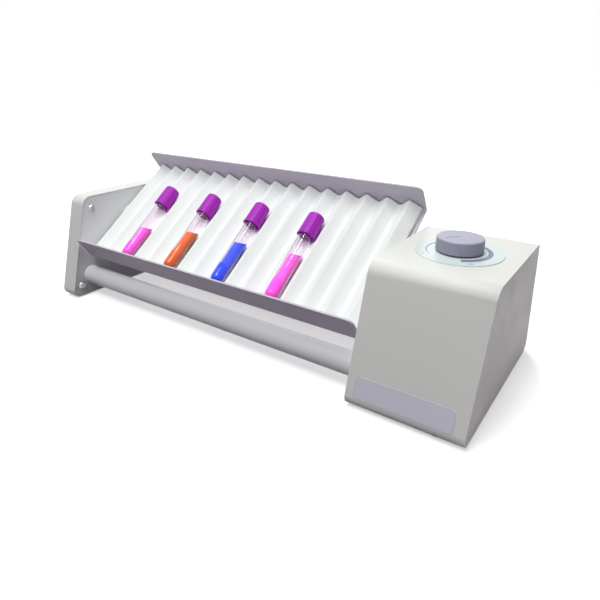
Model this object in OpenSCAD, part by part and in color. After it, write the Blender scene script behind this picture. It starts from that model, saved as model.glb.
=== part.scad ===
// Blood tube rocker: a corrugated tray that see-saws between an end bracket and a motor housing.
// X runs along the tray towards the motor housing, Y points to the back, Z is up.
// The origin is at the middle of the footprint, on the surface that the rubber feet stand on.

/* [Overall] */
// Length over both ends
overall_len = 448; // [410:1:520]
// Height of both end bodies, without the feet
body_h = 107; // [98:0.5:120]
// Depth of the end bodies at the bottom
base_depth = 173.5; // [160:0.5:200]
// Depth of the end bodies at the top
top_depth = 114; // [100:1:130]
// Height of the rubber feet
foot_h = 1.5; // [1:0.5:8]
// Diameter of the rubber feet
foot_d = 15; // [12:0.5:18]

/* [End bodies] */
// Length of the motor housing
housing_len = 90.5; // [88:0.5:110]
// Thickness of the end bracket
bracket_len = 20; // [16:0.5:30]
// Wall of both moulded shells
shell_wall = 3.5; // [3:0.1:4.5]
// Radius of the long edges at the top
top_edge_r = 12; // [6:0.5:16]
// Rounding of the top edge at the back
back_edge_r = 5; // [3:0.5:16]
// Radius of the long edges at the bottom
bottom_edge_r = 7; // [5:0.5:10]
// Thickness of the metal side panels
panel_t = 2; // [1.5:0.1:3]
// Rim of the shell left round the side panel
panel_rim = 1.4; // [1:0.1:1.8]
// Gap round the side panel
panel_gap = 0.3; // [0.2:0.05:0.5]

/* [Tray] */
// Height of the rocking axis above the surface
axis_h = 79; // [74:0.5:90]
// Tilt of the tray where it rests
rest_tilt = 35; // [20:1:35]
// Full swing of the tray from one end to the other
swing = 70; // [40:1:70]
// Gap between the tray and each end body
tray_gap = 2; // [2:0.1:4]
// Inside width of the tray
tray_w = 134; // [120:1:140]
// Height of the lips above the tray's floor
lip_h = 26.6; // [20:0.2:32]
// Thickness of the tray's sheet
sheet_t = 1.5; // [1:0.1:2]
// Inside radius of the folds
fold_r = 1; // [0.8:0.1:2]
// Radius of the lips' free corners
lip_corner_r = 6; // [3:0.5:10]
// Distance from the tray's floor down to the axis
axis_drop = 6; // [6:0.1:8]

/* [Pad] */
// Distance from one groove to the next
groove_pitch = 20.5; // [19:0.1:20.8]
// Least gap between the pad and the ends of the tray
pad_gap = 2; // [1:0.5:4]
// Thickness of the pad under a groove
valley_h = 4.2; // [3:0.1:6]
// Slope of the groove flanks
flank_angle = 40.5; // [35:0.5:42]
// Radius of the ridge tops
ridge_r = 2; // [1:0.1:2.5]
// Radius of the groove bottoms
groove_r = 3; // [1:0.1:3.5]

/* [Sample tubes] */
// Outside diameter of the glass
tube_d = 13; // [12:0.1:13.4]
// Length of the glass
tube_len = 85; // [70:1:88]
// Wall of the glass
glass_wall = 0.9; // [0.7:0.05:1.2]
// Diameter of the cap's ring
cap_d = 17; // [16:0.1:18]
// Length of the cap
cap_len = 23.5; // [20:0.5:26]
// Length of the glass that is inside the cap
cap_cover = 17; // [12:0.5:18]
// Gap between the tubes' round ends and the front lip
foot_gap = 3; // [1:0.5:20]
// Number of ridges to the left of each tube
ridge_counts = [3, 6, 9, 12];
// Length of each tube that is filled
fill_len = [38.5, 46, 47, 48.5];
// Gap between a tube and the pad
rest_gap = 0.3; // [0.2:0.05:0.5]

/* [Tie bars] */
// Diameter of the tie bars
bar_d = 19.6; // [14:0.2:22]
// Distance of each tie bar from the front and back edges of the base
bar_in = 26.75; // [24:0.25:32]
// Height of the tie bars above the surface
bar_h = 22.5; // [20:0.5:26]
// Diameter of the bolts in the bar ends
bar_bolt_d = 6; // [5:0.5:8]

/* [Control] */
// Diameter of the dial plate
dial_d = 65; // [50:1:70]
// Thickness of the dial plate
dial_t = 0.8; // [0.5:0.1:1.2]
// Diameter of the speed knob
knob_d = 35; // [28:0.5:40]
// Height of the speed knob
knob_h = 10; // [9:0.5:14]
// Number of flutes round the knob
knob_flutes = 96; // [60:2:110]
// Direction of the pointer, counted from +X
pointer_angle = 225; // [200:1:250]

/* [Drive] */
// Diameter of the tray's shafts
shaft_d = 6; // [5:0.5:6]
// Length of the rocker lever between its centres
lever_len = 24; // [20:0.5:26]
// Height of the motor shaft above the surface
motor_h = 35; // [33:0.5:38]
// Diameter of the crank pin
crank_pin_d = 5; // [4:0.5:6]
// Diameter of the gearbox
gearbox_d = 37; // [30:0.5:38]
// Diameter of the motor
motor_d = 28; // [20:0.5:32]
// Radial clearance of a shaft in its bush
run_gap = 0.05; // [0.02:0.01:0.09]

/* [Hidden] */
$fn = 64;
fine = 0.02;
left_x = -overall_len / 2;
right_x = overall_len / 2;
bracket_in = left_x + bracket_len;
housing_in = right_x - housing_len;
top_z = foot_h + body_h;
side_slope = (base_depth - top_depth) / 2 / body_h;
lean = atan(side_slope);

tray_left = bracket_in + tray_gap;
tray_right = housing_in - tray_gap;
tray_len = tray_right - tray_left;
tray_mid = (tray_left + tray_right) / 2;
bar_y = base_depth / 2 - bar_in;

ridge_count = floor((tray_len - 2 * pad_gap) / groove_pitch);
pad_len = ridge_count * groove_pitch;
pad_left = tray_mid - pad_len / 2;
pad_w = tray_w - 2 * fold_r;
flank_extra = 1 / cos(flank_angle) - 1;
groove_floor = valley_h - groove_r * flank_extra;
ridge_apex = groove_floor + groove_pitch / 2 * tan(flank_angle);

glass_r = tube_d / 2;
bore_r = glass_r - glass_wall;
ring_r = cap_d / 2;
glass_w = groove_floor + (glass_r + rest_gap) / cos(flank_angle);
cap_w = groove_floor + (ring_r + rest_gap) / cos(flank_angle);
tube_tilt = asin((cap_w - glass_w) / (tube_len - cap_cover - glass_r));
tube_foot_v = foot_gap - tray_w / 2;

bush_r = shaft_d / 2 + 3;
flange_r = shaft_d / 2 + 6;
flange_t = tray_gap - 0.5;
bush_len = 8;
block_w = 24;
block_len = 16;
block_drop = axis_drop + shaft_d / 2 + 3;

panel_screw_d = 4;
panel_head_d = 8;
panel_head_t = 1.4;
boss_d = 9;
screw_in_top = 13.5;
screw_in_bottom = 11.7;
screw_side_in = 12;

housing_mid = (housing_in + right_x) / 2;
bushing_d = 9;
pot_shaft_d = 6;
pot_d = 24;
pot_h = 9;
nut_h = 2.4;
nut_flats = 12;
knob_lift = 1.2;
knob_bottom = top_z + dial_t + knob_lift;
knob_top = knob_bottom + knob_h;

crank_r = lever_len * sin(swing / 2);
crank_y = lever_len * cos(swing / 2);
rod_len = axis_h - motor_h;
lever_pin_y = lever_len * cos(rest_tilt);
lever_pin_z = axis_h + lever_len * sin(rest_tilt);
gap_x = 1;
lever_x = housing_in + bush_len + gap_x + 1;
lever_t = 5;
rod_x = lever_x + lever_t + gap_x;
rod_t = 4;
disc_x = rod_x + rod_t + gap_x;
disc_t = 5;
plate_x = disc_x + disc_t + 5;
plate_t = 2;
gearbox_len = 20;
motor_len = 24;
standoff_d = 8;
standoff_span_y = 50;
standoff_span_z = 20;
standoff_low = bar_h + bar_d / 2 + standoff_d / 2;

board_size = [44, 46, 1.6];
board_z = foot_h + shell_wall + 6;
board_gap = 13;
board_x = housing_mid;
board_y = -(half_depth(board_z - foot_h) - shell_wall - board_gap - board_size[1] / 2);
post_d = 6;

inlet_x = housing_mid;
inlet_h = foot_h + screw_in_bottom + boss_d / 2 + nut_flats / 2 + 5;
inlet_d = 8;
inlet_flange_d = 11;
inlet_len = 14;

// Helpers

function unit(v) = v / norm(v);

// Half the angle at corner i of an outline
function half_corner(pts, i) =
  let (n = len(pts), b = pts[i])
  acos(unit(pts[(i + n - 1) % n] - b) * unit(pts[(i + 1) % n] - b)) / 2;

// Where the round of corner i leaves its two sides
function tangents(pts, i, r) =
  let (n = len(pts), b = pts[i], run = r / tan(half_corner(pts, i)))
  [b + unit(pts[(i + n - 1) % n] - b) * run, b + unit(pts[(i + 1) % n] - b) * run];

function round_centre(pts, i, r) =
  let (n = len(pts), b = pts[i])
  b + unit(unit(pts[(i + n - 1) % n] - b) + unit(pts[(i + 1) % n] - b)) * r / sin(half_corner(pts, i));

// An outline with true round corners; each round is a hair larger, so that it meets its sides cleanly
module rounded(pts, radii) {
  hair = 0.01;
  polygon([for (i = [0 : len(pts) - 1]) each tangents(pts, i, radii[i])]);
  for (i = [0 : len(pts) - 1])
    translate(round_centre(pts, i, radii[i])) circle(radii[i] + hair);
}

// Half the depth of an end body at a height above its own bottom
function half_depth(h) = base_depth / 2 - h * side_slope;

// The end bodies' outline, moved inwards by an inset
module end_outline(inset) {
  low = half_depth(inset) - inset / cos(lean);
  high = half_depth(body_h - inset) - inset / cos(lean);
  low_r = max(bottom_edge_r - inset, 1);
  high_r = max(top_edge_r - inset, 1);
  back_r = max(back_edge_r - inset, 1);
  translate([0, foot_h])
    rounded([[-low, inset], [low, inset], [high, body_h - inset], [-high, body_h - inset]],
      [low_r, low_r, back_r, high_r]);
}

// Stands a drawing of Y and Z up and gives it a thickness along X
module along_x(x, t) {
  translate([x, 0, 0]) rotate([90, 0, 90]) linear_extrude(t) children();
}

module round_x(x, y, z, d, t) {
  translate([x, y, z]) rotate([0, 90, 0]) cylinder(d = d, h = t);
}

// The tray's own frame: x, across the tray, and up from its floor
module in_tray() {
  translate([0, 0, axis_h]) rotate([rest_tilt, 0, 0]) translate([0, 0, axis_drop]) children();
}

function side_of(z) = half_depth(z - foot_h);
screw_places = [
  for (s = [-1, 1]) each [
    [s * (side_of(top_z - screw_in_top) - screw_side_in), top_z - screw_in_top],
    [s * (side_of(foot_h + screw_in_bottom) - screw_side_in + 2.5), foot_h + screw_in_bottom]
  ]
];
foot_y = base_depth / 2 - 14.75;
foot_places = [[(left_x + bracket_in) / 2, foot_y], [right_x - 22, foot_y]];

module at_screws() {
  for (p = screw_places) translate([0, p[0], p[1]]) children();
}

// End bodies

// A moulded shell from x to x + t, open at the side where the panel goes
module shell(x, t, open_left) {
  inner = open_left ? x : x + shell_wall;
  seat = open_left ? x : x + t - panel_t;
  boss_x = open_left ? x + panel_t : x + shell_wall - fine;
  boss_len = t - shell_wall - panel_t + fine;
  difference() {
    union() {
      difference() {
        along_x(x, t) end_outline(0);
        along_x(open_left ? inner - 1 : inner, t - shell_wall + 1) end_outline(shell_wall);
        along_x(open_left ? seat - 1 : seat, panel_t + 1) end_outline(panel_rim);
      }
      at_screws() round_x(boss_x, 0, 0, boss_d, boss_len);
    }
    at_screws() round_x(open_left ? boss_x - 1 : boss_x + boss_len - 12, 0, 0, panel_screw_d + 0.1, 13);
    for (p = foot_places)
      for (s = [-1, 1])
        translate([p[0], s * p[1], foot_h - 1]) cylinder(d = 6.1, h = shell_wall + 2);
  }
}

module bracket_shell() {
  color("ivory") shell(left_x, bracket_len, false);
}

module housing_shell() {
  color("ivory")
    difference() {
      shell(housing_in, housing_len, true);
      translate([housing_mid, 0, top_z - shell_wall - 1]) cylinder(d = bushing_d + 0.4, h = shell_wall + 2);
      at_inlet() translate([0, 0, -shell_wall - 2]) cylinder(d = inlet_d + 0.2, h = shell_wall + 4);
    }
}

// A metal side panel from x, with holes for its screws, the bush and the tie bar bolts
module panel(x) {
  difference() {
    along_x(x, panel_t) end_outline(panel_rim + panel_gap);
    at_screws() round_x(x - 1, 0, 0, panel_screw_d + 0.2, panel_t + 2);
    round_x(x - 1, 0, axis_h, 2 * bush_r + 0.1, panel_t + 2);
    for (s = [-1, 1]) round_x(x - 1, s * bar_y, bar_h, bar_bolt_d + 0.2, panel_t + 2);
  }
}

module bracket_panel() {
  color("gainsboro") panel(bracket_in - panel_t);
}

module housing_panel() {
  color("gainsboro")
    difference() {
      panel(housing_in);
      at_standoffs() round_x(housing_in - 1, 0, 0, 3.2, panel_t + 2);
    }
}

// A pan head screw whose head sits at x and points to side s
module panel_screw(x, s) {
  shank = 10;
  round_x(s > 0 ? x - shank : x, 0, 0, panel_screw_d, shank);
  translate([x, 0, 0]) rotate([0, s * 90, 0])
    difference() {
      cylinder(d1 = panel_head_d, d2 = panel_head_d - 2, h = panel_head_t);
      translate([0, 0, panel_head_t - 1]) cylinder(d = 3.4, h = 2, $fn = 6);
    }
}

module bracket_panel_screws() {
  color("silver") at_screws() panel_screw(bracket_in, 1);
}

module housing_panel_screws() {
  color("silver") at_screws() panel_screw(housing_in, -1);
}

module foot(px, py) {
  color("dimgray")
    translate([px, py, 0]) {
      cylinder(d1 = foot_d - 2, d2 = foot_d, h = foot_h);
      cylinder(d = 6, h = foot_h + shell_wall);
    }
}

// Tie bars

module tie_bar(s) {
  color("whitesmoke")
    difference() {
      round_x(bracket_in, s * bar_y, bar_h, bar_d, housing_in - bracket_in);
      for (x = [bracket_in - 1, housing_in - 15])
        round_x(x, s * bar_y, bar_h, bar_bolt_d + 0.1, 16);
    }
}

module tie_bar_bolts() {
  head_d = bar_bolt_d + 4;
  head_t = bar_bolt_d - 1;
  color("silver")
    for (s = [-1, 1]) {
      round_x(bracket_in - panel_t, s * bar_y, bar_h, bar_bolt_d, 14);
      round_x(bracket_in - panel_t - head_t, s * bar_y, bar_h, head_d, head_t);
      round_x(housing_in + panel_t - 14, s * bar_y, bar_h, bar_bolt_d, 14);
      round_x(housing_in + panel_t, s * bar_y, bar_h, head_d, head_t);
    }
}

// Tray

// A flanged bush; its flange is at the side s of x, its barrel runs the other way
module bush(x, s) {
  color("white")
    difference() {
      union() {
        round_x(s > 0 ? x : x - flange_t, 0, axis_h, 2 * flange_r, flange_t);
        round_x(s > 0 ? x - bush_len : x, 0, axis_h, 2 * bush_r, bush_len);
      }
      round_x(x - bush_len - 2, 0, axis_h, shaft_d + 2 * run_gap, 2 * bush_len + 4);
    }
}

// The channel's section across the tray
module channel_section() {
  half = tray_w / 2;
  translate([-half + fold_r, -sheet_t]) square([tray_w - 2 * fold_r, sheet_t]);
  for (s = [0, 1])
    mirror([s, 0])
      intersection() {
        translate([half - fold_r, fold_r])
          difference() {
            circle(fold_r + sheet_t);
            circle(fold_r);
          }
        translate([half - fold_r, -sheet_t]) square(fold_r + sheet_t);
      }
}

// A lip's outline: along the tray and up
module lip_outline() {
  translate([tray_left, fold_r]) square([tray_len, lip_h - fold_r - lip_corner_r]);
  translate([tray_left + lip_corner_r, fold_r]) square([tray_len - 2 * lip_corner_r, lip_h - fold_r]);
  for (x = [tray_left + lip_corner_r, tray_right - lip_corner_r])
    translate([x, lip_h - lip_corner_r]) circle(lip_corner_r);
}

module tray_channel() {
  color("lightslategray")
    difference() {
      in_tray() {
        along_x(tray_left, tray_len) channel_section();
        for (s = [-1, 1])
          translate([0, s > 0 ? tray_w / 2 + sheet_t : -tray_w / 2, 0])
            rotate([90, 0, 0]) linear_extrude(sheet_t) lip_outline();
      }
      at_block_screws() translate([0, 0, -sheet_t - 1]) cylinder(d = 3.2, h = sheet_t + 2);
    }
}

// The pad's top edge: a rounded groove bottom and a rounded ridge top for each pitch
function arc(cx, cy, r, from, to) = [for (k = [0 : 4]) let (a = from + (to - from) * k / 4)
  [cx + r * cos(a), cy + r * sin(a)]];
function groove_arc(x) =
  arc(x, groove_floor + groove_r / cos(flank_angle), groove_r, 270 - flank_angle, 270 + flank_angle);
function ridge_arc(x) =
  arc(x, ridge_apex - ridge_r / cos(flank_angle), ridge_r, 90 + flank_angle, 90 - flank_angle);

module pad() {
  top_edge = [for (i = [0 : ridge_count - 1]) each concat(
    ridge_arc((i + 0.5) * groove_pitch),
    i < ridge_count - 1 ? groove_arc((i + 1) * groove_pitch) : [])];
  color("white")
    in_tray() translate([pad_left, pad_w / 2, 0]) rotate([90, 0, 0])
      linear_extrude(pad_w)
        polygon(concat([[0, 0], [0, valley_h]], top_edge, [[pad_len, valley_h], [pad_len, 0]]));
}

module at_block_screws() {
  in_tray()
    for (x = [tray_left + block_len / 2, tray_right - block_len / 2])
      for (v = [-block_w / 2 + 4, block_w / 2 - 4])
        translate([x, v, 0]) children();
}

// The block under each end of the tray's floor, bored for its shaft
module pivot_block(x) {
  color("silver")
    difference() {
      in_tray()
        translate([x, -block_w / 2, -block_drop]) cube([block_len, block_w, block_drop - sheet_t]);
      round_x(x - 1, 0, axis_h, shaft_d + 2 * fine, block_len + 2);
      at_block_screws() translate([0, 0, -sheet_t - 6]) cylinder(d = 3.1, h = 7);
    }
}

// Screws through the tray's floor, with their heads under the block
module block_screws() {
  color("silver")
    at_block_screws() {
      translate([0, 0, -sheet_t - 5.5]) cylinder(d = 3, h = sheet_t + 5.5);
    }
}

module pivot_pin() {
  color("silver")
    round_x(bracket_in - bush_len - 1, 0, axis_h, shaft_d, bush_len + 1 + tray_gap + block_len);
}

module drive_shaft() {
  color("silver")
    round_x(tray_right - block_len, 0, axis_h, shaft_d, block_len + lever_x + lever_t - tray_right);
}

// Drive

module rocker_lever() {
  hub_d = shaft_d + 8;
  eye_d = crank_pin_d + 5;
  color("silver")
    translate([lever_x, 0, axis_h]) rotate([rest_tilt, 0, 0])
      difference() {
        union() {
          rotate([0, 90, 0]) cylinder(d = hub_d, h = lever_t);
          translate([0, lever_len, 0]) rotate([0, 90, 0]) cylinder(d = eye_d, h = lever_t);
          translate([0, 0, -eye_d / 2]) cube([lever_t, lever_len, eye_d]);
        }
        translate([-1, 0, 0]) rotate([0, 90, 0]) cylinder(d = shaft_d + 2 * fine, h = lever_t + 2);
        translate([-1, lever_len, 0]) rotate([0, 90, 0])
          cylinder(d = crank_pin_d + 2 * fine, h = lever_t + 2);
      }
}

// The lever's pin ends just short of the connecting rod
module lever_pin() {
  color("silver")
    round_x(lever_x, lever_pin_y, lever_pin_z, crank_pin_d, lever_t + gap_x / 2);
}

module connecting_rod() {
  eye_d = crank_pin_d + 6;
  color("white")
    difference() {
      union() {
        for (z = [0, rod_len]) round_x(rod_x, crank_y, motor_h + crank_r + z, eye_d, rod_t);
        translate([rod_x, crank_y - 3, motor_h + crank_r]) cube([rod_t, 6, rod_len]);
      }
      for (z = [0, rod_len])
        round_x(rod_x - 1, crank_y, motor_h + crank_r + z, crank_pin_d + 2 * run_gap, rod_t + 2);
    }
}

module crank_disc() {
  color("silver")
    difference() {
      round_x(disc_x, crank_y, motor_h, 2 * crank_r + crank_pin_d + 6, disc_t);
      round_x(disc_x - 1, crank_y, motor_h, shaft_d + 2 * fine, disc_t + 2);
      round_x(disc_x - 1, crank_y, motor_h + crank_r, crank_pin_d + 2 * fine, disc_t + 2);
    }
}

// The crank's pin carries the rod between the disc and its own end
module crank_pin() {
  color("silver")
    round_x(rod_x, crank_y, motor_h + crank_r, crank_pin_d, rod_t + gap_x + disc_t);
}

module motor_shaft() {
  color("silver")
    round_x(disc_x, crank_y, motor_h, shaft_d, plate_x + plate_t + 3 - disc_x);
}

standoff_places = [for (s = [-1, 1]) for (u = [-1, 1])
  [crank_y + s * standoff_span_y / 2, standoff_low + (u + 1) * standoff_span_z / 2]];

module at_standoffs() {
  for (p = standoff_places) translate([0, p[0], p[1]]) children();
}

module motor_standoffs() {
  color("silver")
    difference() {
      at_standoffs() round_x(housing_in + panel_t, 0, 0, standoff_d, plate_x - housing_in - panel_t);
      at_standoffs() round_x(housing_in + panel_t - 1, 0, 0, 3.2, 9);
    }
}

module standoff_screws() {
  color("silver")
    at_standoffs() {
      round_x(housing_in - 1.6, 0, 0, 5.5, 1.6);
      round_x(housing_in, 0, 0, 3, panel_t + 6);
    }
}

// The plate that carries the gearbox reaches past its standoffs and down to the gearbox's lowest point
module motor_plate() {
  margin = 6;
  low = motor_h - gearbox_d / 2;
  color("silver")
    difference() {
      translate([plate_x, crank_y - standoff_span_y / 2 - margin, low])
        cube([plate_t, standoff_span_y + 2 * margin, standoff_low + standoff_span_z + margin - low]);
      round_x(plate_x - 1, crank_y, motor_h, 12, plate_t + 2);
    }
}

module gearbox() {
  color("gray")
    difference() {
      union() {
        round_x(plate_x + plate_t, crank_y, motor_h, gearbox_d, gearbox_len);
        round_x(plate_x, crank_y, motor_h, 11.8, plate_t + 1);
      }
      round_x(plate_x - 1, crank_y, motor_h, shaft_d + 2 * run_gap, plate_t + 1 + 4);
    }
}

module motor() {
  color("dimgray") {
    round_x(plate_x + plate_t + gearbox_len, crank_y, motor_h, motor_d, motor_len);
    round_x(plate_x + plate_t + gearbox_len + motor_len, crank_y, motor_h, 10, 2);
  }
}

module control_board() {
  color("seagreen")
    translate([board_x - board_size[0] / 2, board_y - board_size[1] / 2, board_z]) cube(board_size);
}

module board_posts() {
  color("ivory")
    for (s = [-1, 1]) for (u = [-1, 1])
      translate([board_x + s * (board_size[0] / 2 - 4), board_y + u * (board_size[1] / 2 - 4), 0])
        translate([0, 0, foot_h + shell_wall]) cylinder(d = post_d, h = board_z - foot_h - shell_wall);
}

module board_parts() {
  color("black")
    translate([board_x, board_y, board_z + board_size[2]]) {
      translate([-12, 10, 0]) cylinder(d = 8, h = 12);
      translate([0, 10, 0]) cylinder(d = 6.3, h = 11);
      translate([8, 4, 0]) cube([9, 14, 8]);
      translate([-16, -16, 0]) cube([12, 6, 3]);
      translate([2, -18, 0]) cube([16, 8, 9]);
    }
}

// The inlet's axis leaves the sloping back wall at right angles
module at_inlet() {
  translate([inlet_x, side_of(inlet_h), inlet_h]) rotate([-90 + lean, 0, 0]) children();
}

module power_inlet() {
  color("black")
    at_inlet()
      difference() {
        union() {
          cylinder(d = inlet_flange_d, h = 1.5);
          translate([0, 0, -inlet_len]) cylinder(d = inlet_d, h = inlet_len + 0.5);
        }
        difference() {
          translate([0, 0, -9]) cylinder(d = 6.3, h = 12);
          translate([0, 0, -10]) cylinder(d = 2, h = 10);
        }
      }
}

module inlet_nut() {
  color("silver")
    at_inlet()
      translate([0, 0, -shell_wall - nut_h])
        difference() {
          cylinder(d = nut_flats / cos(30), h = nut_h, $fn = 6);
          translate([0, 0, -1]) cylinder(d = inlet_d + 2 * fine, h = nut_h + 2);
        }
}

// Control

module dial_plate() {
  color("aliceblue")
    translate([housing_mid, 0, top_z])
      difference() {
        cylinder(d = dial_d, h = dial_t, $fn = 96);
        translate([0, 0, -1]) cylinder(d = bushing_d + 0.4, h = dial_t + 2);
      }
}

module potentiometer() {
  under = top_z - shell_wall;
  color("darkslategray")
    translate([housing_mid, 0, 0])
      difference() {
        union() {
          translate([0, 0, under - pot_h]) cylinder(d = pot_d, h = pot_h);
          translate([0, 0, under - 1]) cylinder(d = bushing_d, h = shell_wall + dial_t + nut_h + 1.5);
        }
        translate([0, 0, under - pot_h + 2]) cylinder(d = pot_shaft_d + 2 * run_gap, h = 60);
      }
}

module potentiometer_nut() {
  color("silver")
    translate([housing_mid, 0, top_z + dial_t])
      difference() {
        cylinder(d = nut_flats / cos(30), h = nut_h, $fn = 6);
        translate([0, 0, -1]) cylinder(d = bushing_d + 2 * fine, h = nut_h + 2);
      }
}

// The knob's fluted outline
module knob_outline() {
  depth = 0.35;
  polygon([for (k = [0 : 2 * knob_flutes - 1])
    let (a = k * 180 / knob_flutes, r = knob_d / 2 - (k % 2) * depth)
    [r * cos(a), r * sin(a)]]);
}

module knob() {
  edge_r = 1.2;
  top_r = knob_d / 2 - 0.2;
  hub_gap = 1;
  recess_r = nut_flats / 2 / cos(30) + hub_gap;
  line_t = 0.9;
  color("slategray")
    translate([housing_mid, 0, knob_bottom])
      difference() {
        intersection() {
          linear_extrude(knob_h) knob_outline();
          rotate_extrude($fn = 96)
            polygon(concat([[0, 0], [knob_d / 2 + 0.1, 0]],
              arc(top_r - edge_r, knob_h - edge_r, edge_r, 0, 90), [[0, knob_h]]));
        }
        translate([0, 0, -1]) cylinder(r = recess_r, h = nut_h + 3);
        translate([0, 0, -1]) cylinder(d = pot_shaft_d + 2 * fine, h = knob_h - 1);
        rotate([0, 0, pointer_angle])
          translate([line_t, -line_t / 2, knob_h - 0.5]) cube([knob_d * 0.3, line_t, 1]);
      }
}

module knob_shaft() {
  low = top_z - shell_wall - pot_h + 2.5;
  color("silver")
    translate([housing_mid, 0, low]) cylinder(d = pot_shaft_d, h = knob_top - 2.5 - low);
}

// Sample tubes: each is drawn standing on its round end, then laid into its groove

function groove_x(i) = pad_left + ridge_counts[i] * groove_pitch;

module in_groove(i) {
  in_tray()
    translate([groove_x(i), tube_foot_v + glass_r, glass_w])
      rotate([-90 + tube_tilt, 0, 0]) translate([0, 0, -glass_r]) children();
}

// A round-bottomed solid of radius r whose bottom is at height low
module test_tube(r, low, high) {
  translate([0, 0, low + r]) sphere(r);
  translate([0, 0, low + r]) cylinder(r = r, h = high - low - r);
}

module glass(i) {
  color("lightcyan", 0.4)
    in_groove(i)
      difference() {
        test_tube(glass_r, 0, tube_len);
        test_tube(bore_r, glass_wall, tube_len + 1);
      }
}

// The liquid's surface stays level while the tube leans
module liquid(i) {
  tints = ["hotpink", "darkorange", "royalblue", "hotpink"];
  reach = tube_len;
  color(tints[i])
    intersection() {
      in_groove(i) test_tube(bore_r - fine, glass_wall + fine, tube_len - cap_cover);
      in_groove(i) translate([0, 0, fill_len[i]])
        rotate([90 - tube_tilt - rest_tilt, 0, 0])
          translate([-reach / 2, -reach, -reach]) cube([reach, 2 * reach, reach]);
    }
}

// The cap: a plain ring at its mouth, broad soft ribs above it and a round top edge
module cap(i) {
  rib_count = 16;
  rib_r = ring_r - 4.9;
  rib_place = 4.8;
  ring_len = 1.6;
  edge_r = 2;
  mouth_r = glass_r + 0.9;
  mouth_len = 9;
  low = tube_len - cap_cover;
  top = low + cap_len;
  top_r = ring_r - 0.6;
  color("darkviolet")
    in_groove(i)
      difference() {
        intersection() {
          union() {
            translate([0, 0, low]) cylinder(r = ring_r, h = ring_len);
            translate([0, 0, low]) cylinder(r = ring_r - 2, h = cap_len);
            for (k = [0 : rib_count - 1])
              rotate([0, 0, (k + 0.5) * 360 / rib_count])
                translate([rib_place, 0, low]) cylinder(r1 = rib_r, r2 = rib_r - 0.5, h = cap_len);
          }
          rotate_extrude()
            polygon(concat([[0, low], [ring_r + 0.5, low]],
              arc(top_r - edge_r, top - edge_r, edge_r, 0, 90), [[0, top]]));
        }
        translate([0, 0, low - 1]) cylinder(r = mouth_r, h = mouth_len + 1);
        translate([0, 0, low]) cylinder(r = glass_r + fine, h = cap_cover);
        translate([0, 0, low]) cylinder(r = glass_r - 0.6, h = cap_cover + 2);
        translate([0, 0, top - 1]) cylinder(r = ring_r - 4, h = 2);
      }
}

// The stopper fills the mouth of the glass and stands up into the cap
module stopper(i) {
  low = tube_len - cap_cover;
  color("indigo")
    in_groove(i)
      difference() {
        translate([0, 0, low + 3]) cylinder(r = bore_r - fine, h = cap_cover - 1);
        translate([0, 0, low + 2]) cylinder(r1 = bore_r - 1.5, r2 = bore_r - 3, h = 6);
      }
}

housing_shell();
housing_panel();
housing_panel_screws();
bracket_shell();
bracket_panel();
bracket_panel_screws();
tie_bar(-1);  // tie_bar_front
tie_bar(1);  // tie_bar_rear
tie_bar_bolts();
foot(foot_places[0][0], -foot_places[0][1]);  // foot_front_left
foot(foot_places[0][0], foot_places[0][1]);  // foot_rear_left
foot(foot_places[1][0], -foot_places[1][1]);  // foot_front_right
foot(foot_places[1][0], foot_places[1][1]);  // foot_rear_right
bush(bracket_in, 1);  // bush_left
bush(housing_in, -1);  // bush_right
tray_channel();
pad();
pivot_block(tray_left);  // pivot_block_left
pivot_block(tray_right - block_len);  // pivot_block_right
block_screws();
pivot_pin();
drive_shaft();
rocker_lever();
lever_pin();
crank_disc();
crank_pin();
motor_shaft();
connecting_rod();
motor_plate();
motor_standoffs();
standoff_screws();
gearbox();
motor();
control_board();
board_posts();
board_parts();
power_inlet();
inlet_nut();
dial_plate();
potentiometer();
potentiometer_nut();
knob();
knob_shaft();
glass(0);  // glass_1
glass(1);  // glass_2
glass(2);  // glass_3
glass(3);  // glass_4
liquid(0);  // liquid_1
liquid(1);  // liquid_2
liquid(2);  // liquid_3
liquid(3);  // liquid_4
cap(0);  // cap_1
cap(1);  // cap_2
cap(2);  // cap_3
cap(3);  // cap_4
stopper(0);  // stopper_1
stopper(1);  // stopper_2
stopper(2);  // stopper_3
stopper(3);  // stopper_4
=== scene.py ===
"""Dresses a blood tube rocker: its finishes, foam pad, dyed water, dial printing, bare plate and stage."""

import math
import random

import bmesh
import bpy
from bpy.props import FloatProperty, FloatVectorProperty, IntProperty, PointerProperty
from bpy.types import Operator, Panel, PropertyGroup
from mathutils import Matrix, Vector


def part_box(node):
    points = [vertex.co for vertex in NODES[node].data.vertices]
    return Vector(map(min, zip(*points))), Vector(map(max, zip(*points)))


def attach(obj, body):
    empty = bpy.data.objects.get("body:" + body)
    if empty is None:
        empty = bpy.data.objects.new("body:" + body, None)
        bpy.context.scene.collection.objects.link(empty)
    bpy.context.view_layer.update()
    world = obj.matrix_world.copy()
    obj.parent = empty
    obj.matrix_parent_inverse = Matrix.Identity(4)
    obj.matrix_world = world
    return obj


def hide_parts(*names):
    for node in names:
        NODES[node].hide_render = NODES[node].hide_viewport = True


bl_info = {
    "name": "Blood Tube Rocker Dressing",
    "version": (1, 0, 0),
    "blender": (4, 5, 0),
    "location": "3D View > Sidebar > Rocker",
    "description": "Finishes, foam pad, dyed water, dial printing and stage for a blood tube rocker",
    "category": "Object",
}

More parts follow.
